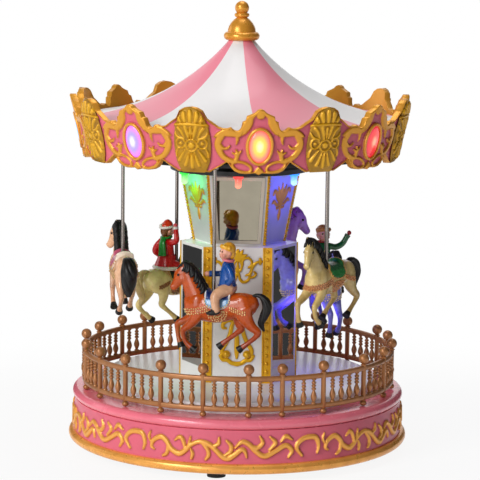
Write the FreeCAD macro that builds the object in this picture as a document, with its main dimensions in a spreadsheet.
import FreeCAD, Part
import math
import os

import Sketcher
from FreeCAD import Rotation, Vector

# A table-top carousel music box: a round base with a balustrade, a mirrored column,
# a striped canopy with a crown of lights, and six horses that hang on poles from a
# carrier disc, which a small gear motor turns round the column.
# The origin is on the table under the column, +Z is up and -Y is the front.
# An azimuth is counted from the front towards +X.

# Driving dimensions: name, value in millimetres, degrees or pieces, and what it sets
SIZES = [
    ("foot_height", 4.8, "rubber feet below the rim"),
    ("foot_radius", 6, "rubber foot"),
    ("foot_inset", 17, "middle of the feet inside the rim"),
    ("foot_turn", -7.6, "azimuth of the first foot"),
    ("foot_count", 4, "feet"),
    ("rim_radius", 115, "gold rim, the widest part of the base"),
    ("rim_height", 6.6, "gold rim"),
    ("rim_width", 9, "gold rim, across its section"),
    ("wall_height", 21.7, "base wall between rim and step"),
    ("wall_inset", 3.4, "base wall's foot inside the rim"),
    ("step_overhang", 0.6, "round step beyond the foot of the wall"),
    ("step_height", 6.7, "round step"),
    ("shell_wall", 2.4, "thickness of the base mouldings"),
    ("deck_inset", 19.2, "raised deck inside the round step"),
    ("ledge_lap", 4, "ledge under the edge of the deck"),
    ("deck_rise", 7.4, "deck above the ledge"),
    ("deck_edge", 2.5, "rounded edge of the deck"),
    ("plate_thickness", 2.4, "bottom plate"),
    ("plate_recess", 1.0, "bottom plate above the rim's underside"),
    ("fit_gap", 0.1, "gap between mouldings that drop into each other"),
    ("run_gap", 0.05, "running clearance of turning fits"),
    ("slide_gap", 0.2, "clearance of sliding and lift-out pieces"),
    ("screw_count", 4, "base screws"),
    ("screw_radius", 1.4, "screw shank"),
    ("screw_length", 12, "screw under its head"),
    ("head_radius", 2.8, "screw head"),
    ("head_height", 1.2, "screw head"),
    ("post_radius", 4.2, "screw posts under the deck"),
    ("cell_radius", 7.1, "battery cell"),
    ("cell_length", 49.5, "battery cell without its nub"),
    ("cell_pitch", 15, "battery cells side by side"),
    ("cell_count", 3, "battery cells"),
    ("nub_radius", 2.6, "battery cell's nub"),
    ("nub_length", 1.0, "battery cell's nub"),
    ("contact_thickness", 1.2, "battery contact strips"),
    ("box_wall", 1.8, "battery box"),
    ("box_offset", 48, "battery box from the axis"),
    ("speaker_radius", 20, "loudspeaker"),
    ("speaker_height", 14, "loudspeaker"),
    ("speaker_flange", 1.2, "loudspeaker's flange"),
    ("grille_pitch", 6.5, "rings of sound holes"),
    ("grille_hole", 1.3, "radius of a sound hole"),
    ("speaker_aside", 11.8, "loudspeaker's middle from a base screw, sideways"),
    ("speaker_behind", 23.8, "loudspeaker's middle from a base screw, to the back"),
    ("board_length", 44, "circuit board"),
    ("board_width", 34, "circuit board"),
    ("board_thickness", 1.6, "circuit board"),
    ("board_x", 46, "circuit board, to the right"),
    ("board_y", 24, "circuit board, to the back"),
    ("board_lift", 5, "pillars under the circuit board"),
    ("pillar_radius", 2.2, "pillars under the circuit board"),
    ("switch_x", 24, "power switch, to the right"),
    ("switch_y", 68, "power switch, to the back"),
    ("switch_length", 15, "power switch housing"),
    ("switch_width", 7, "power switch housing"),
    ("switch_height", 6, "power switch housing"),
    ("switch_travel", 4, "power switch knob from off to on"),
    ("knob_length", 4, "power switch knob"),
    ("knob_width", 3, "power switch knob"),
    ("knob_reach", 1.4, "power switch knob below the bottom plate"),
    ("fence_inset", 7.6, "centre line of the balustrade inside the round step"),
    ("fence_pitch", 4, "angle from one baluster to the next"),
    ("fence_turn", 3.9, "azimuth of the first post"),
    ("rail_width", 2.6, "balustrade rails, radially"),
    ("rail_height", 3.4, "balustrade rails"),
    ("rail_lift", 4.0, "lower rail above the ledge"),
    ("baluster_height", 16.2, "between the rails"),
    ("baluster_radius", 2.0, "bulb of a baluster"),
    ("baluster_neck", 1.0, "neck of a baluster"),
    ("fence_post_radius", 1.6, "balustrade posts"),
    ("fence_foot_radius", 2.2, "foot knob of a post"),
    ("fence_ball_radius", 3.5, "ball on a post"),
    ("fence_ball_neck", 1.0, "neck under the ball"),
    ("column_turn", -1.5, "azimuth of the column's front face"),
    ("column_height", 91.6, "lower column"),
    ("column_wide", 45.8, "wide faces of the lower column"),
    ("column_narrow", 32, "narrow, mirrored faces of the lower column"),
    ("column_wall", 3.2, "lower column"),
    ("mirror_border", 2.0, "column left showing beside a lower mirror"),
    ("mirror_sill", 10, "column left showing under a lower mirror"),
    ("mirror_thickness", 1.2, "mirrors"),
    ("pilaster_width", 6.2, "gold strips beside the wide faces"),
    ("pilaster_thickness", 1.2, "gold strips beside the wide faces"),
    ("ornament_thickness", 1.2, "gold reliefs on the column"),
    ("pendant_height", 27.4, "middle of the lower relief above the deck"),
    ("pendant_half_width", 11, "lower relief on the wide faces"),
    ("pendant_half_height", 15, "lower relief on the wide faces"),
    ("pendant_knob", 2.8, "round knobs of the lower relief"),
    ("crest_height", 79.2, "middle of the upper relief above the deck"),
    ("crest_half_width", 16, "upper relief on the wide faces"),
    ("crest_half_height", 10.8, "upper relief on the wide faces"),
    ("shoulder_height", 0.6, "flat shoulder over the lower column"),
    ("lantern_height", 48.4, "upper column, which widens upwards"),
    ("lantern_foot_wide", 32.8, "mirrored faces of the upper column at their foot"),
    ("lantern_foot_narrow", 28.9, "plain faces of the upper column at their foot"),
    ("lantern_head_wide", 38.6, "mirrored faces of the upper column at their head"),
    ("lantern_head_narrow", 41.3, "plain faces of the upper column at their head"),
    ("frame_width", 2.2, "frames round the upper mirrors"),
    ("frame_thickness", 1.8, "frames round the upper mirrors"),
    ("frame_margin", 1.6, "upper column left showing beside a frame"),
    ("bead_width", 1.8, "bead strips on the upper column"),
    ("fleur_half_width", 6, "lily relief on the upper column"),
    ("fleur_length", 30, "lily relief on the upper column"),
    ("tube_radius", 7, "centre tube"),
    ("tube_wall", 1.2, "centre tube"),
    ("led_plate_radius", 47, "lamp plate on top of the column"),
    ("led_plate_thickness", 3, "lamp plate on top of the column"),
    ("led_radius", 2.5, "lamps"),
    ("led_length", 8.6, "lamps"),
    ("led_flange", 0.5, "flange of a lamp, beyond its radius"),
    ("led_flange_height", 1, "flange of a lamp"),
    ("led_circle", 42, "ring of lamps under the lamp plate"),
    ("led_count", 6, "lamps under the lamp plate"),
    ("washer_thickness", 2, "thrust washer under the carrier"),
    ("washer_radius", 12.5, "thrust washer under the carrier"),
    ("bush_wall", 2, "bush in the carrier's hub"),
    ("hub_wall", 3, "carrier's hub"),
    ("hub_height", 20, "carrier's hub"),
    ("disc_lift", 5.4, "carrier disc above the foot of its hub"),
    ("disc_radius", 91, "carrier disc"),
    ("disc_thickness", 2.6, "carrier disc"),
    ("gear_module", 1.5, "drive gears"),
    ("gear_teeth", 36, "gear on the carrier"),
    ("pinion_teeth", 12, "pinion on the motor"),
    ("gear_width", 4.5, "drive gears"),
    ("gear_slack", 0.2, "added to the gears' centre distance"),
    ("motor_azimuth", 140, "gear motor"),
    ("shaft_radius", 1.5, "motor shaft"),
    ("motor_radius", 14, "gear motor"),
    ("motor_clearance", 1.6, "gear motor above the pinion"),
    ("ear_thickness", 2, "ears of the gear motor"),
    ("ear_reach", 5, "ears of the gear motor"),
    ("pole_radius", 1.2, "horse poles"),
    ("pole_turn", -15.2, "azimuth of the first pole"),
    ("inner_row", 62, "poles of the ridden horses"),
    ("outer_row", 80.5, "poles of the riderless horses"),
    ("inner_saddle", 113, "saddle height of the ridden horses"),
    ("outer_saddle", 132, "saddle height of the riderless horses"),
    ("outer_yaw", 10, "riderless horses, turned outwards on their poles"),
    ("outer_gaze", 20, "heads of the riderless horses, turned outwards"),
    ("pole_depth", 14, "pole inside the horse"),
    ("boss_radius", 4, "pole bosses on the carrier"),
    ("boss_height", 5, "pole bosses on the carrier"),
    ("collar_radius", 2.6, "collars on the poles"),
    ("collar_height", 4.5, "collars on the poles"),
    ("lamp_clearance", 0.3, "canopy plate above the canopy lamps"),
    ("frame_plate_thickness", 3, "plate that carries the canopy"),
    ("frame_hub_wall", 4, "hub of the canopy plate"),
    ("frame_hub_height", 14, "hub of the canopy plate"),
    ("crown_turn", 6.4, "azimuth of the first light panel"),
    ("crown_count", 8, "panels of the crown"),
    ("crown_base", 5, "crown's lowest point above the lamp plate"),
    ("crown_height", 43, "crown"),
    ("crown_foot_radius", 104.4, "crown's outside at its lowest point"),
    ("crown_head_radius", 113.9, "crown's outside at its highest point"),
    ("crown_thickness", 3.5, "crown panels"),
    ("crown_seam", 0.12, "joint between two crown panels"),
    ("shell_thickness", 3.6, "gold shells over the joints of the crown"),
    ("shell_half_width", 12.2, "gold shells over the joints of the crown"),
    ("bezel_half_width", 8.4, "bezel of a canopy light"),
    ("bezel_half_height", 11.3, "bezel of a canopy light"),
    ("bezel_width", 1.8, "bezel of a canopy light, across its section"),
    ("bezel_thickness", 3, "bezel of a canopy light"),
    ("lens_thickness", 2.2, "lens of a canopy light"),
    ("lens_taper", 20, "slope of a lens's side"),
    ("light_height", 18.2, "canopy lights above the crown's lowest point"),
    ("roof_gap", 3, "roof's eave inside the crown"),
    ("roof_rim", 2, "upright edge of the roof under its eave"),
    ("roof_neck_radius", 8.5, "roof at its neck"),
    ("roof_rise", 50.5, "roof's neck above its eave"),
    ("roof_sag", 10.1, "hollow of the roof under a straight line"),
    ("roof_thickness", 2, "roof"),
    ("finial_ring_radius", 12, "ring under the finial"),
    ("finial_ring_height", 5.6, "ring under the finial"),
    ("finial_bell_radius", 9.4, "bell of the finial"),
    ("finial_bell_height", 9.6, "bell of the finial"),
    ("finial_bead_radius", 5, "bead of the finial"),
    ("finial_bead_height", 3, "bead of the finial"),
    ("finial_neck_radius", 3.4, "neck of the finial"),
    ("finial_ball_radius", 4.7, "ball of the finial"),
]

# The column has three wide and three narrow faces, and each row of horses has three
FACE_COUNT = 3
ROW_COUNT = 3

# Steps of the balustrade from post to post, anticlockwise from above, 90 in all
FENCE_STEPS = [3, 4, 5, 4, 4, 4, 3, 5, 4, 4, 5, 4, 5, 3, 4, 4, 5, 4, 4, 4, 4, 4]

doc = FreeCAD.newDocument("CarouselMusicBox")
sheet = doc.addObject("Spreadsheet::Sheet", "Sizes")
for row, (alias, value, note) in enumerate(SIZES, start=1):
    sheet.set(f"A{row}", alias)
    sheet.set(f"B{row}", str(value))
    sheet.setAlias(f"B{row}", alias)
    sheet.set(f"C{row}", note)
doc.recompute()


class Size:
    """A number that also knows the sheet formula it comes from."""

    def __init__(self, formula, value):
        self.formula = formula
        self.value = value

    def __add__(self, other):
        other = as_size(other)
        return Size(f"({self.formula} + {other.formula})", self.value + other.value)

    def __sub__(self, other):
        other = as_size(other)
        return Size(f"({self.formula} - {other.formula})", self.value - other.value)

    def __mul__(self, other):
        other = as_size(other)
        return Size(f"({self.formula} * {other.formula})", self.value * other.value)

    def __truediv__(self, other):
        other = as_size(other)
        return Size(f"({self.formula} / {other.formula})", self.value / other.value)

    def __rsub__(self, other):
        return as_size(other) - self

    def __rtruediv__(self, other):
        return as_size(other) / self

    def __neg__(self):
        return 0 - self

    __radd__ = __add__
    __rmul__ = __mul__


def as_size(number):
    if isinstance(number, Size):
        return number
    return Size(f"{float(number):.9g}", float(number))


def sine(angle):
    return Size(f"sin({angle.formula})", math.sin(math.radians(angle.value)))


def cosine(angle):
    return Size(f"cos({angle.formula})", math.cos(math.radians(angle.value)))


def root(number):
    return Size(f"sqrt({number.formula})", math.sqrt(number.value))


def slope_angle(rise, run):
    ratio = rise / run
    return Size(f"(atan({ratio.formula}) / 1 deg)", math.degrees(math.atan(ratio.value)))


class Sheet:
    """The sheet's cells as sizes, by their aliases."""


cell = Sheet()
for alias, value, note in SIZES:
    setattr(cell, alias, Size(f"Sizes.{alias}", float(sheet.get(alias))))


def bind(obj, prop, size):
    """Tie a property to its formula."""
    obj.setExpression(prop, as_size(size).formula)


def place(obj, x=0, y=0, z=0, turn=0, axis="0; 0; 1", prop="Placement"):
    """Tie a placement to formulas: a shift, and a turn about one axis."""
    x, y, z, turn = (as_size(size).formula for size in (x, y, z, turn))
    spot = f"placement(vector({x}; {y}; {z}); rotation(vector({axis}); {turn}))"
    obj.setExpression(prop, spot)


nodes = {}


def node(label, obj):
    """Name a finished sub-part, which is written to a file of that name."""
    obj.Label = label
    nodes[label] = obj
    return obj


class Arc:
    """A round stretch through this point, from the corner before it to the one after."""

    def __init__(self, x, y):
        self.x = x
        self.y = y


def point(x, y):
    return Vector(as_size(x).value, as_size(y).value, 0)


def draw(sketch, *outlines):
    """Draw closed outlines of corners and arcs, each point tied to its formulas."""
    for outline in outlines:
        edges = []
        for item in outline:
            if isinstance(item, Arc):
                edges[-1][1] = item
            else:
                edges.append([item, None])
        drawn = []
        for number, (start, arc) in enumerate(edges):
            end = edges[(number + 1) % len(edges)][0]
            first, last = point(*start), point(*end)
            if arc is None:
                shape = Part.LineSegment(first, last)
            else:
                shape = Part.ArcOfCircle(first, point(arc.x, arc.y), last)
            index = sketch.addGeometry(shape, False)
            near = 1 if sketch.getPoint(index, 1).isEqual(first, 1e-6) else 2
            drawn.append((index, near, 3 - near))
        for number, (start, arc) in enumerate(edges):
            index, near, far = drawn[number]
            follower = drawn[(number + 1) % len(drawn)]
            sketch.addConstraint(
                Sketcher.Constraint("Coincident", index, far, follower[0], follower[1])
            )
            tie_point(sketch, index, near, *start)
            if arc is not None:
                spot = sketch.addGeometry(Part.Point(point(arc.x, arc.y)), True)
                tie_point(sketch, spot, 1, arc.x, arc.y)
                sketch.addConstraint(Sketcher.Constraint("PointOnObject", spot, 1, index))


def tie_point(sketch, index, position, x, y):
    for kind, size in (("DistanceX", as_size(x)), ("DistanceY", as_size(y))):
        number = sketch.addConstraint(Sketcher.Constraint(kind, index, position, size.value))
        bind(sketch, f"Constraints[{number}]", size)


def draw_circle(sketch, x, y, radius):
    radius = as_size(radius)
    ring = Part.Circle(point(x, y), Vector(0, 0, 1), radius.value)
    index = sketch.addGeometry(ring, False)
    number = sketch.addConstraint(Sketcher.Constraint("Radius", index, radius.value))
    bind(sketch, f"Constraints[{number}]", radius)
    tie_point(sketch, index, 3, x, y)


def rectangle(x0, y0, x1, y1):
    return [(x0, y0), (x1, y0), (x1, y1), (x0, y1)]


def mirrored(half):
    """A closed outline from its right half, which starts and ends on the middle line."""
    inner = half[1:-1]
    left = []
    for item in reversed(inner):
        if isinstance(item, Arc):
            left.append(Arc(-as_size(item.x), item.y))
        else:
            left.append((-as_size(item[0]), item[1]))
    return half + left


def stretched(outline, width, foot, height):
    """An outline of shares, at its real width and height above a foot."""
    points = []
    for item in outline:
        if isinstance(item, Arc):
            points.append(Arc(width * item.x, foot + height * item.y))
        else:
            points.append((width * item[0], foot + height * item[1]))
    return points


def new_body(label):
    body = doc.addObject("PartDesign::Body", label)
    body.AllowCompound = True
    return body


def origin_part(body, role):
    return next(part for part in body.Origin.OriginFeatures if part.Role == role)


def new_sketch(body, plane, *, y=0, z=0, turn=0, axis="1; 0; 0"):
    """A sketch on one of the body's own planes, shifted and tilted in that plane's frame."""
    sketch = body.newObject("Sketcher::SketchObject", body.Name + "_sketch")
    sketch.AttachmentSupport = [(origin_part(body, plane), "")]
    sketch.MapMode = "FlatFace"
    place(sketch, 0, y, z, turn, axis, prop="AttachmentOffset")
    return sketch


def pad(body, sketch, length):
    feature = body.newObject("PartDesign::Pad", body.Name + "_pad")
    feature.Profile = sketch
    bind(feature, "Length", length)
    return feature


def pocket(body, sketch, depth=None, upwards=False):
    """Cut a sketch against its normal, or along it when upwards; right through with no depth."""
    doc.recompute()
    before = body.Shape.Volume
    feature = body.newObject("PartDesign::Pocket", body.Name + "_pocket")
    feature.Profile = sketch
    feature.Reversed = upwards
    if depth is None:
        feature.Type = "ThroughAll"
    else:
        bind(feature, "Length", depth)
    doc.recompute()
    if not feature.Shape.Volume < before:
        raise RuntimeError(f"a cut in {body.Name} removes nothing")
    return feature


def revolve(body, sketch, cut=False):
    kind = "PartDesign::Groove" if cut else "PartDesign::Revolution"
    doc.recompute()
    before = body.Shape.Volume if cut else 0
    feature = body.newObject(kind, body.Name + "_turned")
    feature.Profile = sketch
    feature.ReferenceAxis = (sketch, ["V_Axis"])
    feature.Angle = 360
    doc.recompute()
    if cut and not feature.Shape.Volume < before:
        raise RuntimeError(f"a groove in {body.Name} removes nothing")
    return feature


def pattern(body, features, count):
    """Repeat features evenly round the body's Z axis."""
    doc.recompute()
    ring = body.newObject("PartDesign::PolarPattern", body.Name + "_ring")
    ring.Originals = features
    ring.Axis = (origin_part(body, "Z_Axis"), [""])
    ring.Angle = 360
    bind(ring, "Occurrences", count)
    body.Tip = ring
    doc.recompute()
    return ring


def turned(label, outline):
    """A body turned round the Z axis from an outline of radius and height."""
    body = new_body(label)
    sketch = new_sketch(body, "XZ_Plane")
    draw(sketch, outline)
    revolve(body, sketch)
    return body


def cylinder(name, radius, height, **spot):
    shape = doc.addObject("Part::Cylinder", name)
    bind(shape, "Radius", radius)
    bind(shape, "Height", height)
    place(shape, **spot)
    return shape


def box(name, length, width, height, **spot):
    shape = doc.addObject("Part::Box", name)
    bind(shape, "Length", length)
    bind(shape, "Width", width)
    bind(shape, "Height", height)
    place(shape, **spot)
    return shape


def cut(name, base, tool):
    shape = doc.addObject("Part::Cut", name)
    shape.Base = base
    shape.Tool = tool
    return shape


def fuse(name, shapes):
    shape = doc.addObject("Part::MultiFuse", name)
    shape.Shapes = shapes
    return shape


# Levels, counted up from the table
rim_z = cell.foot_height
wall_z = rim_z + cell.rim_height
step_z = wall_z + cell.wall_height
ledge_z = step_z + cell.step_height
deck_z = ledge_z + cell.deck_rise
column_top_z = deck_z + cell.column_height
lantern_z = column_top_z + cell.shoulder_height
led_plate_z = lantern_z + cell.lantern_height
washer_z = led_plate_z + cell.led_plate_thickness
hub_z = washer_z + cell.washer_thickness
disc_z = hub_z + cell.disc_lift
disc_top_z = disc_z + cell.disc_thickness
crown_z = washer_z + cell.crown_base
plate_z = rim_z + cell.plate_recess
floor_z = plate_z + cell.plate_thickness

# Shared radii
wall_foot_radius = cell.rim_radius - cell.wall_inset
step_radius = wall_foot_radius + cell.step_overhang
deck_radius = step_radius - cell.deck_inset
ledge_inner_radius = deck_radius - cell.ledge_lap
fence_radius = step_radius - cell.fence_inset
foot_circle = cell.rim_radius - cell.foot_inset
screw_circle = ledge_inner_radius - cell.post_radius - cell.slide_gap
screw_reach = screw_circle * math.sqrt(0.5)
speaker_x = screw_reach - cell.speaker_aside
speaker_y = cell.speaker_behind - screw_reach
tube_bore = cell.tube_radius + cell.fit_gap
rim_inner = cell.rim_radius - cell.rim_width
hub_bore = cell.tube_radius + cell.run_gap + cell.bush_wall
hub_radius = hub_bore + cell.hub_wall
crown_flare = (cell.crown_head_radius - cell.crown_foot_radius) / cell.crown_height
crown_tilt = slope_angle(cell.crown_head_radius - cell.crown_foot_radius, cell.crown_height)


def crown_radius(z):
    """The crown's outer radius at a height."""
    return cell.crown_foot_radius + crown_flare * (z - crown_z)


# The canopy plate clears the lamps behind the crown, and the roof stands on it
lamp_rise = cell.led_length * sine(crown_tilt) + cell.led_radius * cosine(crown_tilt)
frame_z = crown_z + cell.light_height + lamp_rise + cell.lamp_clearance
frame_top_z = frame_z + cell.frame_plate_thickness
eave_z = frame_top_z + cell.roof_rim
neck_z = eave_z + cell.roof_rise
roof_eave_radius = crown_radius(frame_top_z) - cell.crown_thickness - cell.roof_gap


def hexagon(wide, narrow):
    """Corners of an equiangular hexagon with a wide face to the front."""
    front = wide_apothem(wide, narrow)
    back = narrow_apothem(wide, narrow)
    peak = (wide + narrow) / 2
    middle = (wide - narrow) / math.sqrt(12)
    return [
        (-wide / 2, -front),
        (wide / 2, -front),
        (peak, -middle),
        (narrow / 2, back),
        (-narrow / 2, back),
        (-peak, -middle),
    ]


def wide_apothem(wide, narrow):
    """From the axis of such a hexagon to its wide faces."""
    return (wide + 2 * narrow) / math.sqrt(12)


def narrow_apothem(wide, narrow):
    """From the axis of such a hexagon to its narrow faces."""
    return (2 * wide + narrow) / math.sqrt(12)


# Base


def make_feet():
    body = new_body("feet")
    sketch = new_sketch(body, "XY_Plane")
    draw_circle(sketch, 0, -foot_circle, cell.foot_radius)
    foot = pad(body, sketch, plate_z)
    pattern(body, [foot], cell.foot_count)
    place(body, turn=cell.foot_turn)
    node("feet", body)


def make_rim():
    half = cell.rim_height / 2
    shoulder = cell.rim_radius - half
    node("base_rim", turned("base_rim", [
        (rim_inner, rim_z),
        (shoulder, rim_z),
        Arc(cell.rim_radius, rim_z + half),
        (shoulder, wall_z),
        (rim_inner, wall_z),
    ]))


def make_skirt():
    half = cell.step_height / 2
    shoulder = step_radius - half
    under = ledge_z - cell.shell_wall
    node("base_skirt", turned("base_skirt", [
        (wall_foot_radius - cell.shell_wall, wall_z),
        (wall_foot_radius, wall_z),
        (shoulder, step_z),
        Arc(step_radius, step_z + half),
        (shoulder, ledge_z),
        (ledge_inner_radius, ledge_z),
        (ledge_inner_radius, under),
        (shoulder - cell.shell_wall, under),
    ]))


def make_deck():
    inner = deck_radius - cell.shell_wall
    under = deck_z - cell.shell_wall
    edge = cell.deck_edge
    rounding = edge * (1 - math.sqrt(0.5))
    body = turned("deck", [
        (tube_bore, under),
        (inner, under),
        (inner, ledge_z),
        (deck_radius, ledge_z),
        (deck_radius, deck_z - edge),
        Arc(deck_radius - rounding, deck_z - rounding),
        (deck_radius - edge, deck_z),
        (tube_bore, deck_z),
    ])
    sketch = new_sketch(body, "XY_Plane", z=floor_z)
    draw_circle(sketch, screw_reach, screw_reach, cell.post_radius)
    post = pad(body, sketch, under - floor_z)
    pattern(body, [post], cell.screw_count)
    sketch = new_sketch(body, "XY_Plane", z=floor_z)
    draw_circle(sketch, screw_reach, screw_reach, cell.screw_radius)
    pilot = pocket(body, sketch, cell.screw_length, upwards=True)
    pattern(body, [pilot], cell.screw_count)
    node("deck", body)


def make_base_screws():
    body = new_body("base_screws")
    sketch = new_sketch(body, "XY_Plane", z=plate_z)
    draw_circle(sketch, screw_reach, screw_reach, cell.head_radius)
    head = pad(body, sketch, cell.head_height)
    sketch = new_sketch(body, "XY_Plane", z=plate_z + cell.head_height)
    draw_circle(sketch, screw_reach, screw_reach, cell.screw_radius - cell.run_gap)
    shank = pad(body, sketch, cell.screw_length)
    pattern(body, [head, shank], cell.screw_count)
    node("base_screws", body)


box_inner_x = cell.cell_pitch * cell.cell_count + 2 * cell.slide_gap
box_inner_y = cell.cell_length + cell.nub_length + 2 * cell.contact_thickness + 2 * cell.slide_gap
box_inner_z = 2 * cell.cell_radius + 2 * cell.slide_gap
slot_width = cell.knob_width + 2 * cell.slide_gap
slot_length = cell.knob_length + cell.switch_travel + 2 * cell.slide_gap

# Rings of sound holes under the loudspeaker: ring number and holes in it
GRILLE_RINGS = [(0, 1), (1, 6), (2, 12)]


def make_base_plate():
    body = new_body("base_plate")
    sketch = new_sketch(body, "XY_Plane", z=plate_z)
    draw_circle(sketch, 0, 0, rim_inner - cell.fit_gap)
    pad(body, sketch, cell.plate_thickness)
    sketch = new_sketch(body, "XY_Plane", z=floor_z)
    inset = 2 * cell.pillar_radius
    for side_x in (-1, 1):
        for side_y in (-1, 1):
            draw_circle(
                sketch,
                cell.board_x + side_x * (cell.board_length / 2 - inset),
                cell.board_y + side_y * (cell.board_width / 2 - inset),
                cell.pillar_radius,
            )
    pad(body, sketch, cell.board_lift)
    sketch = new_sketch(body, "XY_Plane", z=floor_z)
    draw(
        sketch,
        rectangle(
            -cell.box_offset - box_inner_x / 2,
            -box_inner_y / 2,
            -cell.box_offset + box_inner_x / 2,
            box_inner_y / 2,
        ),
        rectangle(
            cell.switch_x - slot_length / 2,
            cell.switch_y - slot_width / 2,
            cell.switch_x + slot_length / 2,
            cell.switch_y + slot_width / 2,
        ),
    )
    for ring, holes in GRILLE_RINGS:
        for hole in range(holes):
            angle = 2 * math.pi * hole / holes
            draw_circle(
                sketch,
                speaker_x + ring * cell.grille_pitch * math.cos(angle),
                speaker_y + ring * cell.grille_pitch * math.sin(angle),
                cell.grille_hole,
            )
    pocket(body, sketch)
    sketch = new_sketch(body, "XY_Plane", z=floor_z)
    draw_circle(sketch, screw_reach, screw_reach, cell.screw_radius + cell.fit_gap)
    hole = pocket(body, sketch)
    pattern(body, [hole], cell.screw_count)
    sketch = new_sketch(body, "XY_Plane", z=plate_z)
    draw_circle(sketch, screw_reach, screw_reach, cell.head_radius + cell.fit_gap)
    seat = pocket(body, sketch, cell.head_height, upwards=True)
    pattern(body, [seat], cell.screw_count)
    node("base_plate", body)


def make_battery_pack():
    body = new_body("battery_door")
    sketch = new_sketch(body, "XY_Plane", z=plate_z)
    gap = cell.slide_gap
    draw(sketch, rectangle(
        gap - box_inner_x / 2, gap - box_inner_y / 2, box_inner_x / 2 - gap, box_inner_y / 2 - gap
    ))
    pad(body, sketch, cell.plate_thickness)
    place(body, x=-cell.box_offset)
    node("battery_door", body)

    body = new_body("battery_box")
    sketch = new_sketch(body, "XY_Plane", z=floor_z)
    wall = cell.box_wall
    draw(sketch, rectangle(
        -wall - box_inner_x / 2, -wall - box_inner_y / 2, wall + box_inner_x / 2, wall + box_inner_y / 2
    ))
    pad(body, sketch, box_inner_z + wall)
    sketch = new_sketch(body, "XY_Plane", z=floor_z)
    draw(sketch, rectangle(-box_inner_x / 2, -box_inner_y / 2, box_inner_x / 2, box_inner_y / 2))
    pocket(body, sketch, box_inner_z, upwards=True)
    place(body, x=-cell.box_offset)
    node("battery_box", body)

    body = new_body("battery_cells")
    axis_z = floor_z + gap + cell.cell_radius
    tail = (cell.cell_length + cell.nub_length) / 2
    for radius, start, length in (
        (cell.cell_radius, -tail, cell.cell_length),
        (cell.nub_radius, cell.cell_length - tail, cell.nub_length),
    ):
        sketch = new_sketch(body, "XZ_Plane", z=start)
        for place_x in (-1, 0, 1):
            draw_circle(sketch, place_x * cell.cell_pitch, axis_z, radius)
        pad(body, sketch, length)
    place(body, x=-cell.box_offset)
    node("battery_cells", body)

    body = new_body("battery_contacts")
    for side in (-1, 1):
        sketch = new_sketch(body, "XY_Plane", z=floor_z + gap)
        outer = box_inner_y / 2 - gap / 2
        inner = outer - cell.contact_thickness
        draw(sketch, rectangle(
            gap - box_inner_x / 2, side * outer, box_inner_x / 2 - gap, side * inner
        ))
        pad(body, sketch, 2 * cell.cell_radius)
    place(body, x=-cell.box_offset)
    node("battery_contacts", body)


def make_speaker():
    flange = cell.speaker_flange
    cup = cell.speaker_radius * 0.55
    body = turned("speaker", [
        (0, floor_z + flange),
        (cell.speaker_radius * 0.8, floor_z),
        (cell.speaker_radius, floor_z),
        (cell.speaker_radius, floor_z + flange),
        (cell.speaker_radius * 0.9, floor_z + flange),
        (cup, floor_z + cell.speaker_height * 0.5),
        (cup, floor_z + cell.speaker_height),
        (0, floor_z + cell.speaker_height),
    ])
    place(body, x=speaker_x, y=speaker_y)
    node("speaker", body)


# Parts on the circuit board: their middle and size in shares of the board, and their height
BOARD_PARTS = [
    (-0.15, 0.1, 0.30, 0.32, 1.8),
    (0.28, 0.22, 0.22, 0.18, 2.4),
    (-0.3, -0.32, 0.26, 0.16, 6.0),
    (0.25, -0.25, 0.16, 0.2, 7.5),
]


def make_circuit_board():
    board_z = floor_z + cell.board_lift
    top_z = board_z + cell.board_thickness
    body = new_body("circuit_board")
    sketch = new_sketch(body, "XY_Plane", z=board_z)
    half_x, half_y = cell.board_length / 2, cell.board_width / 2
    draw(sketch, rectangle(-half_x, -half_y, half_x, half_y))
    pad(body, sketch, cell.board_thickness)
    for x, y, length, width, height in BOARD_PARTS:
        sketch = new_sketch(body, "XY_Plane", z=top_z)
        draw(sketch, rectangle(
            cell.board_length * (x - length / 2),
            cell.board_width * (y - width / 2),
            cell.board_length * (x + length / 2),
            cell.board_width * (y + width / 2),
        ))
        pad(body, sketch, height)
    place(body, x=cell.board_x, y=cell.board_y)
    node("circuit_board", body)


def make_switch():
    housing = box(
        "switch_block", cell.switch_length, cell.switch_width, cell.switch_height,
        x=cell.switch_x - cell.switch_length / 2,
        y=cell.switch_y - cell.switch_width / 2,
        z=floor_z,
    )
    chamber = box(
        "switch_chamber", slot_length, slot_width, cell.switch_height / 2 + cell.slide_gap,
        x=cell.switch_x - slot_length / 2,
        y=cell.switch_y - slot_width / 2,
        z=floor_z,
    )
    node("power_switch", cut("power_switch", housing, chamber))
    node("switch_knob", box(
        "switch_knob",
        cell.knob_length,
        cell.knob_width,
        cell.knob_reach + cell.plate_thickness + cell.switch_height / 2,
        x=cell.switch_x - (cell.knob_length + cell.switch_travel) / 2,
        y=cell.switch_y - cell.knob_width / 2,
        z=plate_z - cell.knob_reach,
    ))


# Balustrade


def facet_turned(name, profile, sides):
    """A turned piece with flat sides, lofted through regular polygons of radius and height."""
    rings = []
    for radius, z in profile:
        ring = doc.addObject("Part::RegularPolygon", name + "_ring")
        ring.Polygon = sides
        bind(ring, "Circumradius", radius)
        place(ring, x=fence_radius, z=z)
        rings.append(ring)
    loft = doc.addObject("Part::Loft", name)
    loft.Sections = rings
    loft.Solid = True
    loft.Ruled = True
    return loft


def linked(source, **spot):
    """A copy of a shape that follows it, shifted or turned."""
    link = doc.addObject("App::Link", source.Name + "_copy")
    link.LinkedObject = source
    place(link, **spot)
    return link


def rail_sector(name, z, angle):
    """A stretch of rail from the first post to an angle."""
    rims = []
    for radius in (fence_radius + cell.rail_width / 2, fence_radius - cell.rail_width / 2):
        rim = cylinder(name + "_rim", radius, cell.rail_height, z=z)
        bind(rim, "Angle", angle)
        rims.append(rim)
    return cut(name, rims[0], rims[1])


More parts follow.
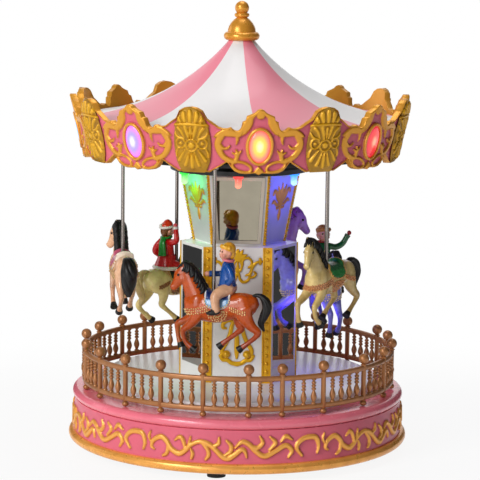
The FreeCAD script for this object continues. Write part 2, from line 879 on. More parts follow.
def make_fence():
    lower_z = ledge_z + cell.rail_lift
    bar_z = lower_z + cell.rail_height
    upper_z = bar_z + cell.baluster_height
    cap_z = upper_z + cell.rail_height + cell.fence_ball_neck
    ball = cell.fence_ball_radius
    post = facet_turned("fence_post", [
        (cell.fence_foot_radius * 0.6, ledge_z),
        (cell.fence_foot_radius, ledge_z + cell.rail_lift / 2),
        (cell.fence_post_radius, lower_z),
        (cell.fence_post_radius, cap_z),
        (ball, cap_z + ball * 0.55),
        (ball, cap_z + ball * 1.25),
        (ball * 0.5, cap_z + ball * 1.85),
    ], 8)
    baluster = facet_turned("baluster", [
        (cell.baluster_neck, bar_z - cell.fit_gap),
        (cell.baluster_radius, bar_z + cell.baluster_height * 0.22),
        (cell.baluster_neck, bar_z + cell.baluster_height * 0.56),
        (cell.baluster_neck * 1.4, upper_z + cell.fit_gap),
    ], 6)
    bays = {}
    for steps in sorted(set(FENCE_STEPS)):
        angle = steps * cell.fence_pitch
        rails = [rail_sector("rail", z, angle) for z in (lower_z, upper_z)]
        bars = [linked(baluster, turn=step * cell.fence_pitch) for step in range(1, steps)]
        bay = fuse(f"fence_bay_{steps}", [post] + rails + bars)
        bays[steps] = cut(f"fence_bay_{steps}_fitted", bay, linked(post, turn=angle))
    parts = []
    passed = 0
    for steps in FENCE_STEPS:
        parts.append(linked(bays[steps], turn=cell.fence_turn - 90 + passed * cell.fence_pitch))
        passed += steps
    fence = doc.addObject("Part::Compound", "fence")
    fence.Links = parts
    node("fence", fence)


# Column


def make_lower_column():
    body = new_body("column")
    sketch = new_sketch(body, "XY_Plane", z=deck_z)
    draw(sketch, hexagon(cell.column_wide, cell.column_narrow))
    pad(body, sketch, cell.column_height)
    inset = 2 * cell.column_wall / math.sqrt(3)
    sketch = new_sketch(body, "XY_Plane", z=column_top_z)
    draw(sketch, hexagon(cell.column_wide - inset, cell.column_narrow - inset))
    pocket(body, sketch)
    face = narrow_apothem(cell.column_wide, cell.column_narrow)
    half = cell.column_narrow / 2 - cell.mirror_border
    sketch = new_sketch(body, "XZ_Plane", z=cell.mirror_thickness - face)
    draw(sketch, rectangle(
        -half, deck_z + cell.mirror_sill, half, column_top_z - cell.mirror_border
    ))
    recess = pocket(body, sketch)
    pattern(body, [recess], FACE_COUNT)
    place(body, turn=cell.column_turn)
    node("column", body)

    body = new_body("column_mirrors")
    gap = cell.fit_gap
    sketch = new_sketch(body, "XZ_Plane", z=-face)
    draw(sketch, rectangle(
        gap - half, deck_z + cell.mirror_sill + gap, half - gap, column_top_z - cell.mirror_border - gap
    ))
    glass = pad(body, sketch, cell.mirror_thickness)
    pattern(body, [glass], FACE_COUNT)
    place(body, turn=cell.column_turn)
    node("column_mirrors", body)


def make_pilasters():
    face = wide_apothem(cell.column_wide, cell.column_narrow)
    body = new_body("pilasters")
    sketch = new_sketch(body, "XY_Plane", z=deck_z)
    outer = cell.column_wide / 2
    inner = outer - cell.pilaster_width
    front = -face - cell.pilaster_thickness
    draw(sketch, rectangle(inner, front, outer, -face), rectangle(-outer, front, -inner, -face))
    strips = pad(body, sketch, cell.column_height)
    pattern(body, [strips], FACE_COUNT)
    place(body, turn=cell.column_turn)
    node("pilasters", body)


# Right halves of the reliefs' outlines, in shares of their half width and half height
PENDANT_HALF = [
    (0, -1),
    (0.32, -0.80),
    (0.66, -0.84),
    Arc(0.94, -0.70),
    (1, -0.46),
    (0.78, -0.10),
    (0.46, 0.46),
    (0.78, 0.66),
    Arc(0.82, 0.86),
    (0.56, 0.88),
    (0.24, 0.74),
    (0, 1),
]
PENDANT_OPENING = [(0.16, 0.30), (0.24, 0.30), (0.60, -0.28), (0.36, -0.34), (0.30, -0.56), (0.16, -0.64)]
KNOB_SPOT = (0.62, -0.52)
CREST_HALF = [
    (0, -0.60),
    (0.16, -0.90),
    Arc(0.34, -0.99),
    (0.50, -0.80),
    (0.58, -0.56),
    (0.74, -0.60),
    (0.74, -0.38),
    (0.54, -0.32),
    (0.60, 0.08),
    (0.80, 0.12),
    (0.94, 0.02),
    (1, 0.32),
    (0.88, 0.44),
    (0.78, 0.32),
    (0.58, 0.24),
    Arc(0.52, 0.50),
    (0.34, 0.54),
    (0.40, 0.74),
    (0.24, 1),
    (0.11, 0.68),
    (0, 0.96),
]
CREST_OPENING = [(0, -0.38), Arc(0.09, 0), (0, 0.38)]


def make_column_reliefs():
    face = wide_apothem(cell.column_wide, cell.column_narrow)
    body = new_body("sun_reliefs")
    middle = deck_z + cell.pendant_height
    half_x, half_z = cell.pendant_half_width, cell.pendant_half_height
    sketch = new_sketch(body, "XZ_Plane", z=face)
    outlines = [mirrored(stretched(PENDANT_HALF, half_x, middle, half_z))]
    outlines += [stretched(PENDANT_OPENING, side * half_x, middle, half_z) for side in (1, -1)]
    draw(sketch, *outlines)
    pendant = pad(body, sketch, cell.ornament_thickness)
    sketch = new_sketch(body, "XZ_Plane", z=face + cell.ornament_thickness)
    for side in (1, -1):
        draw_circle(sketch, side * half_x * KNOB_SPOT[0], middle + half_z * KNOB_SPOT[1], cell.pendant_knob)
    knobs = pad(body, sketch, cell.ornament_thickness)
    pattern(body, [pendant, knobs], FACE_COUNT)
    place(body, turn=cell.column_turn)
    node("sun_reliefs", body)

    body = new_body("crest_reliefs")
    spot = (cell.crest_half_width, deck_z + cell.crest_height, cell.crest_half_height)
    sketch = new_sketch(body, "XZ_Plane", z=face)
    draw(sketch, mirrored(stretched(CREST_HALF, *spot)), mirrored(stretched(CREST_OPENING, *spot)))
    crest = pad(body, sketch, cell.ornament_thickness)
    pattern(body, [crest], FACE_COUNT)
    place(body, turn=cell.column_turn)
    node("crest_reliefs", body)


def make_lantern():
    body = new_body("lantern")
    sections = []
    for z, wide, narrow in (
        (column_top_z, cell.column_wide, cell.column_narrow),
        (lantern_z, cell.lantern_foot_wide, cell.lantern_foot_narrow),
        (led_plate_z, cell.lantern_head_wide, cell.lantern_head_narrow),
    ):
        sketch = new_sketch(body, "XY_Plane", z=z)
        draw(sketch, hexagon(wide, narrow))
        sections.append(sketch)
    loft = body.newObject("PartDesign::AdditiveLoft", "lantern_loft")
    loft.Profile = sections[0]
    loft.Sections = sections[1:]
    loft.Ruled = True
    sketch = new_sketch(body, "XY_Plane", z=led_plate_z)
    draw_circle(sketch, 0, 0, tube_bore)
    pocket(body, sketch)
    place(body, turn=cell.column_turn)
    node("lantern", body)


def lantern_face(apothem):
    """From the axis to the foot of an upper face, and how far its head leans out, by its apothem rule."""
    foot = apothem(cell.lantern_foot_wide, cell.lantern_foot_narrow)
    head = apothem(cell.lantern_head_wide, cell.lantern_head_narrow)
    return foot, head - foot


def face_slant(apothem):
    """Height of an upper face along its slope."""
    lean = lantern_face(apothem)[1]
    return root(lean * lean + cell.lantern_height * cell.lantern_height)


def face_sketch(body, apothem, side):
    """A sketch on a slanted face, at the front or, with side -1, the back: y runs up from its foot."""
    foot, lean = lantern_face(apothem)
    tilt = slope_angle(lean, cell.lantern_height)
    return new_sketch(body, "XZ_Plane", y=lantern_z, z=side * foot, turn=side * tilt)


def trapezoid(slant, foot_width, head_width, margin):
    """A face's outline, drawn in by a margin on all sides."""
    spread = (head_width - foot_width) / slant
    low = foot_width / 2 + spread * margin / 2 - margin
    high = head_width / 2 - spread * margin / 2 - margin
    return [(-low, margin), (low, margin), (high, slant - margin), (-high, slant - margin)]


def make_lantern_trim():
    slant = face_slant(wide_apothem)
    widths = (cell.lantern_foot_wide, cell.lantern_head_wide)
    edge = cell.frame_margin
    body = new_body("lantern_frames")
    sketch = face_sketch(body, wide_apothem, 1)
    draw(
        sketch,
        trapezoid(slant, *widths, edge),
        trapezoid(slant, *widths, edge + cell.frame_width),
    )
    frame = pad(body, sketch, cell.frame_thickness)
    pattern(body, [frame], FACE_COUNT)
    place(body, turn=cell.column_turn)
    node("lantern_frames", body)

    body = new_body("lantern_mirrors")
    sketch = face_sketch(body, wide_apothem, 1)
    draw(sketch, trapezoid(slant, *widths, edge + cell.frame_width + cell.fit_gap))
    glass = pad(body, sketch, cell.mirror_thickness)
    pattern(body, [glass], FACE_COUNT)
    place(body, turn=cell.column_turn)
    node("lantern_mirrors", body)

    slant = face_slant(narrow_apothem)
    widths = (cell.lantern_foot_narrow, cell.lantern_head_narrow)
    body = new_body("bead_strips")
    sketch = face_sketch(body, narrow_apothem, -1)
    outer = trapezoid(slant, *widths, cell.fit_gap)
    inner = trapezoid(slant, *widths, cell.fit_gap + cell.bead_width)
    strip = [outer[1], outer[2], (inner[2][0], outer[2][1]), (inner[1][0], outer[1][1])]
    for side in (1, -1):
        draw(sketch, [(side * x, y) for x, y in strip])
    strips = pad(body, sketch, cell.bead_width / 2)
    strips.Reversed = True
    pattern(body, [strips], FACE_COUNT)
    place(body, turn=cell.column_turn)
    node("bead_strips", body)

    body = new_body("lily_reliefs")
    sketch = face_sketch(body, narrow_apothem, -1)
    half, tall = cell.fleur_half_width, cell.fleur_length
    low = (slant - tall) / 2
    draw(sketch, mirrored([
        (0, low),
        (half * 0.35, low + tall * 0.3),
        (half * 0.3, low + tall * 0.5),
        Arc(half * 1.05, low + tall * 0.52),
        (half * 0.9, low + tall * 0.72),
        Arc(half * 0.62, low + tall * 0.64),
        (half * 0.4, low + tall * 0.62),
        Arc(half * 0.5, low + tall * 0.85),
        (0, low + tall),
    ]))
    lily = pad(body, sketch, cell.ornament_thickness)
    lily.Reversed = True
    pattern(body, [lily], FACE_COUNT)
    place(body, turn=cell.column_turn)
    node("lily_reliefs", body)


def make_centre_tube():
    top = neck_z + cell.finial_ring_height
    node("centre_tube", turned("centre_tube", [
        (cell.tube_radius - cell.tube_wall, floor_z),
        (cell.tube_radius, floor_z),
        (cell.tube_radius, top),
        (cell.tube_radius - cell.tube_wall, top),
    ]))


def lamp_outline(base_z, direction):
    """A lamp's half outline on its axis, from its flange to its round end."""
    radius = cell.led_radius
    flange = radius + cell.led_flange
    flange_z = base_z + direction * cell.led_flange_height
    end = base_z + direction * cell.led_length
    return [
        (0, base_z),
        (flange, base_z),
        (flange, flange_z),
        (radius, flange_z),
        (radius, end - direction * radius),
        Arc(radius * math.sqrt(0.5), end - direction * radius * (1 - math.sqrt(0.5))),
        (0, end),
    ]


def make_lamp_plate():
    node("led_plate", turned("led_plate", [
        (tube_bore, led_plate_z),
        (cell.led_plate_radius, led_plate_z),
        (cell.led_plate_radius, washer_z),
        (tube_bore, washer_z),
    ]))
    lamp = turned("lamp", lamp_outline(led_plate_z, -1))
    lamps = []
    for number in range(int(cell.led_count.value)):
        azimuth = cell.column_turn + number * 360 / cell.led_count
        lamps.append(linked(lamp, x=cell.led_circle * sine(azimuth), y=-cell.led_circle * cosine(azimuth)))
    ring = doc.addObject("Part::Compound", "column_lamps")
    ring.Links = lamps
    node("column_lamps", ring)


# Carrier and drive


def make_carrier():
    node("thrust_washer", turned("thrust_washer", [
        (tube_bore, washer_z),
        (cell.washer_radius, washer_z),
        (cell.washer_radius, hub_z),
        (tube_bore, hub_z),
    ]))
    hub_top = hub_z + cell.hub_height
    node("carrier_bush", turned("carrier_bush", [
        (cell.tube_radius + cell.run_gap, hub_z),
        (hub_bore, hub_z),
        (hub_bore, hub_top),
        (cell.tube_radius + cell.run_gap, hub_top),
    ]))
    body = turned("carrier_disc", [
        (hub_bore, hub_z),
        (hub_radius, hub_z),
        (hub_radius, disc_z),
        (cell.disc_radius, disc_z),
        (cell.disc_radius, disc_top_z),
        (hub_radius, disc_top_z),
        (hub_radius, hub_top),
        (hub_bore, hub_top),
    ])
    for row, first in ((cell.inner_row, 0), (cell.outer_row, 180 / ROW_COUNT)):
        azimuth = cell.pole_turn + first
        spot = (row * sine(azimuth), -row * cosine(azimuth))
        sketch = new_sketch(body, "XY_Plane", z=disc_top_z)
        draw_circle(sketch, *spot, cell.boss_radius)
        boss = pad(body, sketch, cell.boss_height)
        pattern(body, [boss], ROW_COUNT)
        sketch = new_sketch(body, "XY_Plane", z=disc_top_z + cell.boss_height)
        draw_circle(sketch, *spot, cell.pole_radius)
        hole = pocket(body, sketch)
        pattern(body, [hole], ROW_COUNT)
    node("carrier_disc", body)


# Stub teeth of the drive: pressure angle, and what they stand above and below the pitch circle in modules
PRESSURE_ANGLE = math.radians(20)
ADDENDUM = 0.72
DEDENDUM = 1.0


def involute(angle):
    return math.tan(angle) - angle


def gear_face(teeth, module, hole_radius):
    """A stub-toothed involute gear's face, with one tooth on the +X axis."""
    pitch_radius = module * teeth / 2
    base_radius = pitch_radius * math.cos(PRESSURE_ANGLE)
    tip_radius = pitch_radius + ADDENDUM * module
    root_radius = pitch_radius - DEDENDUM * module
    start = max(base_radius, root_radius)
    half_tooth = math.pi / (2 * teeth) + involute(PRESSURE_ANGLE)
    flank = []
    for share in (0, 0.5, 1):
        radius = start + (tip_radius - start) * share
        flank.append((radius, half_tooth - involute(math.acos(base_radius / radius))))
    if root_radius < base_radius:
        flank.insert(0, (root_radius, flank[0][1]))
    corners = []
    for tooth in range(teeth):
        middle = 2 * math.pi * tooth / teeth
        for radius, half in flank:
            corners.append((radius, middle - half))
        for radius, half in reversed(flank):
            corners.append((radius, middle + half))
    points = [Vector(r * math.cos(angle), r * math.sin(angle), 0) for r, angle in corners]
    face = Part.Face(Part.makePolygon(points + points[:1]))
    if hole_radius:
        face = face.cut(Part.Face(Part.Wire(Part.makeCircle(hole_radius))))
    return face


def make_drive():
    gear = doc.addObject("Part::Feature", "carrier_gear")
    gear.Shape = gear_face(
        int(cell.gear_teeth.value), cell.gear_module.value, hub_radius.value
    ).extrude(Vector(0, 0, cell.gear_width.value))
    direction = cell.motor_azimuth - 90
    place(gear, z=disc_top_z, turn=direction)
    node("carrier_gear", gear)

    reach = cell.gear_module * (cell.gear_teeth + cell.pinion_teeth) / 2 + cell.gear_slack
    spot = dict(x=reach * cosine(direction), y=reach * sine(direction))
    lift = cell.slide_gap
    motor_z = disc_top_z + lift + cell.gear_width + cell.motor_clearance
    shaft_length = cell.gear_width + cell.motor_clearance + cell.motor_radius / 3
    toothed = gear_face(int(cell.pinion_teeth.value), cell.gear_module.value, 0)
    shaft = Part.makeCylinder(cell.shaft_radius.value, shaft_length.value)
    pinion = doc.addObject("Part::Feature", "drive_pinion")
    pinion.Shape = toothed.extrude(Vector(0, 0, cell.gear_width.value)).fuse(shaft).removeSplitter()
    half_pitch = 180 / cell.pinion_teeth
    place(pinion, z=disc_top_z + lift, turn=direction + 180 + half_pitch, **spot)
    node("drive_pinion", pinion)

    can = cylinder("motor_can", cell.motor_radius, frame_z - motor_z, z=motor_z, **spot)
    ears = box(
        "motor_ears", 2 * (cell.motor_radius + cell.ear_reach), cell.ear_reach * 1.6, cell.ear_thickness,
        x=spot["x"] - (cell.motor_radius + cell.ear_reach),
        y=spot["y"] - cell.ear_reach * 0.8,
        z=frame_z - cell.ear_thickness,
    )
    bore = cylinder(
        "motor_bore", cell.shaft_radius + cell.run_gap, cell.motor_radius / 3 + cell.slide_gap * 2,
        z=motor_z, **spot,
    )
    node("gear_motor", cut("gear_motor", fuse("motor_shape", [can, ears]), bore))


# Horses: a section is (forward, up, half width, half height), in millimetres from the
# saddle at the pole, and a limb's stations are (forward, up, radius).

TORSO = [
    (18.8, -6.8, 2.8, 4.0),
    (15.5, -7.6, 5.8, 8.4),
    (8.0, -9.1, 7.0, 9.4),
    (-2.0, -9.8, 7.8, 10.0),
    (-12.0, -8.3, 7.6, 8.8),
    (-20.0, -7.3, 7.2, 8.2),
    (-26.0, -7.2, 5.6, 6.8),
    (-29.2, -7.9, 2.6, 3.6),
]
BLANKET = [(3.0, -9.4, 8.2, 9.8), (-2.5, -9.8, 8.5, 10.4), (-11.0, -8.6, 8.4, 9.5)]
NECK = [(12.5, -5.0, 5.2, 8.0), (16.5, 4.0, 3.8, 5.8), (19.0, 11.0, 3.0, 4.5), (20.6, 15.6, 2.4, 3.2)]
HEAD = [(19.8, 16.4, 2.2, 2.6), (22.8, 10.6, 2.9, 4.6), (26.2, 5.4, 2.2, 3.1), (28.4, 2.2, 2.0, 2.3)]
MANE = [(20.5, 17.6, 1.2, 1.4), (15.2, 12.6, 1.6, 2.6), (10.0, 6.4, 1.6, 2.4), (5.2, -0.4, 1.2, 1.6)]
TAIL = [
    (-25.5, -1.6, 1.5, 1.5),
    (-30.6, -0.4, 1.8, 1.8),
    (-35.0, -4.6, 2.4, 2.4),
    (-35.4, -11.0, 2.8, 2.8),
    (-31.6, -18.0, 2.2, 2.2),
    (-33.2, -23.4, 0.8, 0.8),
]
LEG_SPREAD = 4.4
OUTER_FORELEG = [
    (8.6, -12.6, 4.2),
    (13.0, -19.6, 3.0),
    (18.8, -24.4, 2.2),
    (18.2, -30.6, 1.6),
    (15.0, -35.0, 1.7),
    (11.4, -37.4, 2.3),
]
INNER_FORELEG = [
    (10.0, -12.6, 4.2),
    (18.0, -18.8, 2.8),
    (25.4, -22.2, 2.1),
    (25.0, -29.2, 1.6),
    (23.4, -35.8, 2.3),
]
OUTER_HIND_LEG = [
    (-21.4, -9.4, 5.6),
    (-24.2, -17.0, 4.2),
    (-31.6, -23.4, 2.3),
    (-25.0, -30.6, 1.6),
    (-20.4, -34.4, 2.3),
]
INNER_HIND_LEG = [
    (-18.6, -10.4, 5.2),
    (-16.4, -18.0, 3.6),
    (-17.4, -23.6, 2.3),
    (-8.8, -30.6, 1.6),
    (-4.0, -34.8, 2.3),
]
LEGS = [(1, OUTER_FORELEG), (-1, INNER_FORELEG), (1, OUTER_HIND_LEG), (-1, INNER_HIND_LEG)]
EAR = [(20.4, 17.2, 1.1, 1.1), (20.8, 21.0, 0.3, 0.3)]
EAR_SPREAD = 1.5
POLL = Vector(19, 0, 16)


def ring_of(centre, along, half_width, half_height, sides):
    """A closed polygon across a direction in the horse's middle plane."""
    across = Vector(0, 1, 0)
    upright = along.cross(across).normalize()
    points = []
    for corner in range(sides):
        angle = 2 * math.pi * (corner + 0.5) / sides
        swell = 1 / math.cos(math.pi / sides)
        points.append(
            centre
            + across * (half_width * swell * math.cos(angle))
            + upright * (half_height * swell * math.sin(angle))
        )
    return Part.makePolygon(points + points[:1])


def limb(stations, sides, aside=0.0, upright_rings=False):
    """A tapering form through stations, cut square to its path or, for a torso, upright."""
    centres = [Vector(station[0], aside, station[1]) for station in stations]
    rings = []
    for number, station in enumerate(stations):
        before = centres[max(number - 1, 0)]
        after = centres[min(number + 1, len(centres) - 1)]
        along = Vector(-1, 0, 0) if upright_rings else (after - before).normalize()
        half_height = station[3] if len(station) > 3 else station[2]
        rings.append(ring_of(centres[number], along, station[2], half_height, sides))
    return Part.makeLoft(rings, True, True)


def horse_shape(gaze):
    """A horse that turns its head outwards by an angle."""
    head = [limb(HEAD, 6)] + [limb(EAR, 4, side * EAR_SPREAD) for side in (-1, 1)]
    for form in head:
        form.rotate(POLL, Vector(0, 0, 1), gaze)
    forms = [limb(TORSO, 8, upright_rings=True), limb(BLANKET, 8, upright_rings=True)]
    forms += [limb(NECK, 8), limb(MANE, 4), limb(TAIL, 6)]
    forms += [limb(stations, 6, side * LEG_SPREAD) for side, stations in LEGS]
    horse = forms[0].multiFuse(forms[1:] + head)
    bore = Part.makeCylinder(
        cell.pole_radius.value, cell.pole_depth.value * 2, Vector(0, 0, -cell.pole_depth.value)
    )
    return horse.cut(bore)


# A rider's forms, in the frame of the horse; an arm or leg's stations are
# (forward, up, aside, radius).

RIDER_TRUNK = [
    (-9.6, 0.5, 5.0, 4.2),
    (-9.6, 8.0, 4.6, 3.8),
    (-10.2, 17.0, 5.2, 3.8),
    (-10.2, 23.0, 2.6, 2.4),
]
RIDER_HEAD = [
    (-9.4, 21.6, 2.6, 2.6),
    (-9.0, 25.0, 5.2, 5.2),
    (-9.0, 30.0, 5.6, 5.6),
    (-9.2, 34.6, 2.6, 2.6),
]
RIDER_LEG = [
    (-8.6, 3.4, 4.0, 3.3),
    (-2.8, -0.6, 9.8, 2.8),
    (-4.2, -10.0, 11.4, 2.2),
    (-0.2, -12.4, 11.6, 1.7),
]
ARM_DOWN = [(-10.2, 19.6, 5.6, 2.3), (-13.4, 13.2, 7.4, 2.0), (-8.4, 9.4, 7.6, 1.8)]
ARM_RAISED = [(-10.2, 19.6, 5.4, 2.3), (-11.0, 21.6, 11.0, 2.0), (-9.6, 28.6, 13.6, 1.8)]
ARM_FORWARD = [(-10.0, 19.4, 5.4, 2.3), (-5.0, 12.6, 6.2, 2.0), (3.4, 11.6, 4.2, 1.8)]
ARM_TO_CAP = [(-10.2, 19.6, 5.4, 2.3), (-10.4, 20.6, 11.2, 2.0), (-8.4, 29.4, 8.2, 1.8)]

# Outer and inner arm of each rider
RIDER_ARMS = [(ARM_DOWN, ARM_FORWARD), (ARM_RAISED, ARM_FORWARD), (ARM_DOWN, ARM_TO_CAP)]


def free_limb(stations, aside_sign, sides):
    """A limb along a free path, cut square to it."""
    centres = [Vector(x, aside_sign * y, z) for x, z, y, radius in stations]
    rings = []
    for number, station in enumerate(stations):
        before = centres[max(number - 1, 0)]
        after = centres[min(number + 1, len(centres) - 1)]
        turn = Rotation(Vector(0, 0, 1), (after - before).normalize())
        points = []
        for corner in range(sides + 1):
            angle = 2 * math.pi * corner / sides
            spot = Vector(math.cos(angle), math.sin(angle), 0) * station[3]
            points.append(centres[number] + turn.multVec(spot))
        rings.append(Part.makePolygon(points))
    return Part.makeLoft(rings, True, True)


def rider_shape(outer_arm, inner_arm, horse):
    forms = [limb(RIDER_TRUNK, 8), limb(RIDER_HEAD, 8)]
    forms += [free_limb(RIDER_LEG, side, 6) for side in (-1, 1)]
    forms += [free_limb(outer_arm, 1, 6), free_limb(inner_arm, -1, 6)]
    return forms[0].multiFuse(forms[1:]).cut(horse)


def make_horses():
    ridden_horse = horse_shape(0)
    free_horse = horse_shape(cell.outer_gaze.value)
    collars = []
    for number in range(2 * ROW_COUNT):
        ridden = number % 2 == 0
        azimuth = cell.pole_turn + number * 180 / ROW_COUNT
        row = cell.inner_row if ridden else cell.outer_row
        saddle = cell.inner_saddle if ridden else cell.outer_saddle
        spot = dict(x=row * sine(azimuth), y=-row * cosine(azimuth))
        foot = saddle - cell.pole_depth
        top = disc_top_z + cell.boss_height
        label = f"pole_{number + 1}"
        node(label, cylinder(label, cell.pole_radius, top - foot, z=foot, **spot))
        collar_z = disc_z - cell.collar_height
        sleeve = cylinder("collar", cell.collar_radius, cell.collar_height, z=collar_z, **spot)
        hole = cylinder("collar_hole", cell.pole_radius, cell.collar_height, z=collar_z, **spot)
        collars.append(cut("pole_collar", sleeve, hole))
        heading = azimuth + 180 if ridden else azimuth + 180 + cell.outer_yaw
        label = f"horse_{number + 1}"
        casting = doc.addObject("Part::Feature", label)
        casting.Shape = ridden_horse if ridden else free_horse
        place(casting, z=saddle, turn=heading, **spot)
        node(label, casting)
        if ridden:
            rider = number // 2
            label = f"rider_{rider + 1}"
            figure = doc.addObject("Part::Feature", label)
            figure.Shape = rider_shape(*RIDER_ARMS[rider], ridden_horse)
            place(figure, z=saddle, turn=heading, **spot)
            node(label, figure)
    group = doc.addObject("Part::Compound", "pole_collars")
    group.Links = collars
    node("pole_collars", group)


# Canopy


def make_canopy_plate():
    edge_gap = cell.crown_thickness + cell.fit_gap
    hub = tube_bore + cell.frame_hub_wall
    hub_top = frame_z + cell.frame_hub_height
    node("canopy_plate", turned("canopy_plate", [
        (tube_bore, frame_z),
        (crown_radius(frame_z) - edge_gap, frame_z),
        (crown_radius(frame_top_z) - edge_gap, frame_top_z),
        (hub, frame_top_z),
        (hub, hub_top),
        (tube_bore, hub_top),
    ]))


def make_roof():
    run = roof_eave_radius - cell.roof_neck_radius
    drop = neck_z - eave_z
    chord = root(run * run + drop * drop)
    middle_r = (roof_eave_radius + cell.roof_neck_radius) / 2 - cell.roof_sag * drop / chord
    middle_z = (eave_z + neck_z) / 2 - cell.roof_sag * run / chord
    wall = cell.roof_thickness
    node("roof", turned("roof", [
        (roof_eave_radius, frame_top_z),
        (roof_eave_radius, eave_z),
        Arc(middle_r, middle_z),
        (cell.roof_neck_radius, neck_z),
        (tube_bore, neck_z),
        (tube_bore, neck_z - wall),
        (cell.roof_neck_radius - wall / 2, neck_z - wall),
        Arc(middle_r - wall * drop / chord, middle_z - wall * run / chord),
        (roof_eave_radius - 2 * wall, frame_top_z),
    ]))


def make_finial():
    ring = cell.finial_ring_radius
    ring_half = cell.finial_ring_height / 2
    bell_z = neck_z + cell.finial_ring_height
    bead_z = bell_z + cell.finial_bell_height
    ball_z = bead_z + cell.finial_bead_height
    ball = cell.finial_ball_radius
    bead_half = cell.finial_bead_height / 2
    neck = cell.finial_neck_radius
    seat = root(ball * ball - neck * neck)
    node("finial", turned("finial", [
        (tube_bore, neck_z),
        (ring - ring_half, neck_z),
        Arc(ring, neck_z + ring_half),
        (ring - ring_half, bell_z),
        Arc(
            cell.finial_bell_radius * 0.86,
            bell_z + cell.finial_bell_height * 0.5,
        ),
        (neck, bead_z),
        (cell.finial_bead_radius - bead_half, bead_z),
        Arc(cell.finial_bead_radius, bead_z + bead_half),
        (cell.finial_bead_radius - bead_half, ball_z),
        (neck, ball_z),
        Arc(ball, ball_z + seat),
        (0, ball_z + seat + ball),
        (0, bell_z),
        (tube_bore, bell_z),
    ]))


# Panels are drawn a little wider than their share of the crown, so that they meet at the seams
PANEL_LAP = 1.02

# Right halves of the crown's outlines, in shares of their half width and of the crown's height
CROWN_HALF = [
    (0, 0),
    (0.171, 0.028),
    Arc(0.351, 0.070),
    (0.405, 0.172),
    (0.697, 0.047),
    (1, 0.056),
    (1, 1),
    Arc(0.832, 0.940),
    (0.742, 0.823),
    (0.666, 0.772),
    Arc(0.495, 0.688),
    (0.319, 0.642),
    (0.270, 0.702),
    (0.211, 0.772),
    (0.211, 0.847),
    Arc(0.148, 0.893),
    (0.103, 0.916),
    Arc(0.067, 0.958),
    (0, 0.972),
]
SHELL_HALF = [
    (0, 0.023),
    (0.656, 0.037),
    (0.918, 0.186),
    Arc(1, 0.442),
    (0.885, 0.688),
    (0.934, 0.730),
    (0.787, 0.758),
    Arc(0.525, 0.921),
    (0, 1),
]


# Panels and shells are cut from blocks that reach from inside the crown to outside it
crown_block_inner = cell.crown_foot_radius * 0.8
crown_block_outer = cell.crown_head_radius * 1.2
crown_block_depth = crown_block_outer - crown_block_inner


def crown_groove(body, inner_offset, outer_offset):
    """Trim padded panels to the crown's flared wall, between two offsets of its outside."""
    low = crown_z - cell.crown_thickness
    high = crown_z + cell.crown_height + cell.crown_thickness
    sketch = new_sketch(body, "XZ_Plane")
    far = crown_block_outer * 1.2
    draw(sketch, [
        (crown_radius(low) + outer_offset, low),
        (far, low),
        (far, high),
        (crown_radius(high) + outer_offset, high),
    ])
    revolve(body, sketch, cut=True)
    sketch = new_sketch(body, "XZ_Plane")
    near = crown_block_inner * 0.6
    draw(sketch, [
        (near, low),
        (crown_radius(low) + inner_offset, low),
        (crown_radius(high) + inner_offset, high),
        (near, high),
    ])
    revolve(body, sketch, cut=True)


def make_crown():
    half_angle = 180 / cell.crown_count
    edge = cell.crown_head_radius * sine(half_angle) * PANEL_LAP
    body = new_body("crown_panels")
    sketch = new_sketch(body, "XZ_Plane", z=crown_block_inner)
    draw(sketch, mirrored(stretched(CROWN_HALF, edge, crown_z, cell.crown_height)))
    panel = pad(body, sketch, crown_block_depth)
    spot = light_spot(crown_block_depth)
    sketch = new_sketch(body, "XZ_Plane", y=spot[0], z=spot[1], turn=crown_tilt)
    draw_circle(sketch, 0, 0, cell.led_radius + cell.fit_gap)
    lamp_hole = pocket(body, sketch, 2 * crown_block_depth)
    pattern(body, [panel, lamp_hole], cell.crown_count)
    crown_groove(body, -cell.crown_thickness, 0)
    crown_top = crown_z + cell.crown_height
    sketch = new_sketch(body, "XY_Plane", z=crown_top, turn=half_angle, axis="0; 0; 1")
    half = cell.crown_seam / 2
    draw(sketch, rectangle(crown_block_inner, -half, crown_block_outer, half))
    seam = pocket(body, sketch)
    pattern(body, [seam], cell.crown_count)
    place(body, turn=cell.crown_turn)
    node("crown_panels", body)


def make_crown_shells():
    body = new_body("crown_shells")
    sketch = new_sketch(body, "XZ_Plane", z=crown_block_inner)
    draw(sketch, mirrored(stretched(SHELL_HALF, cell.shell_half_width, crown_z, cell.crown_height)))
    shell = pad(body, sketch, crown_block_depth)
    pattern(body, [shell], cell.crown_count)
    crown_groove(body, 0, cell.shell_thickness)
    place(body, turn=cell.crown_turn + 180 / cell.crown_count)
    node("crown_shells", body)


def light_spot(lift):
    """Height and depth of a point over the middle of a light, off the crown's outside."""
    z = crown_z + cell.light_height
    return z - lift * sine(crown_tilt), crown_radius(z) + lift * cosine(crown_tilt)


def oval(half_width, half_height):
    """An upright oval of four arcs."""
    side, rise = half_width * 0.72, half_height * 0.70
    return [
        (side, -rise),
        Arc(half_width, 0),
        (side, rise),
        Arc(0, half_height),
        (-side, rise),
        Arc(-half_width, 0),
        (-side, -rise),
        Arc(0, -half_height),
    ]


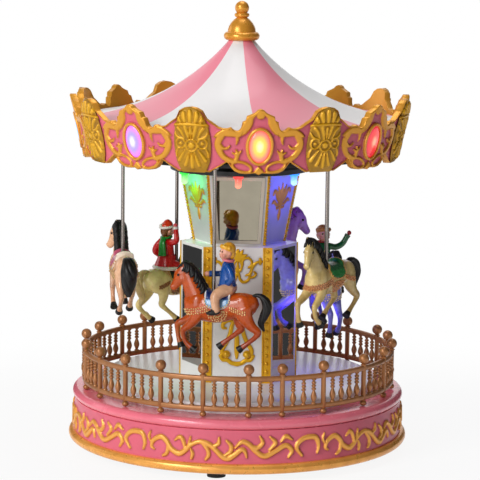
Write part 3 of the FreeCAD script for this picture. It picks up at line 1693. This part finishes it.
def make_canopy_lights():
    spot = light_spot(0)
    width, height = cell.bezel_half_width, cell.bezel_half_height
    inner = (width - cell.bezel_width, height - cell.bezel_width)
    body = new_body("light_bezels")
    sketch = new_sketch(body, "XZ_Plane", y=spot[0], z=spot[1], turn=crown_tilt)
    draw(sketch, oval(width, height), oval(*inner))
    ring = pad(body, sketch, cell.bezel_thickness)
    pattern(body, [ring], cell.crown_count)
    place(body, turn=cell.crown_turn)
    node("light_bezels", body)

    body = new_body("light_lenses")
    sketch = new_sketch(body, "XZ_Plane", y=spot[0], z=spot[1], turn=crown_tilt)
    draw(sketch, oval(inner[0] - cell.fit_gap, inner[1] - cell.fit_gap))
    dome = pad(body, sketch, cell.lens_thickness)
    bind(dome, "TaperAngle", -cell.lens_taper)
    pattern(body, [dome], cell.crown_count)
    place(body, turn=cell.crown_turn)
    node("light_lenses", body)

    body = new_body("canopy_lamps")
    spot = light_spot(-cell.fit_gap)
    sketch = new_sketch(body, "XZ_Plane", y=spot[0], z=spot[1], turn=crown_tilt)
    draw_circle(sketch, 0, 0, cell.led_radius)
    bulb = pad(body, sketch, cell.led_length)
    bulb.Reversed = True
    pattern(body, [bulb], cell.crown_count)
    place(body, turn=cell.crown_turn)
    node("canopy_lamps", body)


MAKERS = [
    make_feet,
    make_rim,
    make_skirt,
    make_deck,
    make_base_screws,
    make_base_plate,
    make_battery_pack,
    make_speaker,
    make_circuit_board,
    make_switch,
    make_fence,
    make_lower_column,
    make_pilasters,
    make_column_reliefs,
    make_lantern,
    make_lantern_trim,
    make_centre_tube,
    make_lamp_plate,
    make_carrier,
    make_drive,
    make_horses,
    make_canopy_plate,
    make_roof,
    make_finial,
    make_crown,
    make_crown_shells,
    make_canopy_lights,
]
for make in MAKERS:
    make()
doc.recompute()

for obj in doc.Objects:
    if "Invalid" in obj.State or "Error" in obj.State:
        raise RuntimeError(f"{obj.Label} failed: {obj.State}")

os.makedirs("parts", exist_ok=True)
for label, obj in nodes.items():
    shape = Part.getShape(obj)
    if shape.isNull() or not shape.isValid() or not shape.Solids:
        raise RuntimeError(f"{label} has no valid solid")
for label, obj in nodes.items():
    Part.getShape(obj).exportStep(f"parts/{label}.step")
print(f"{len(nodes)} sub-parts written")
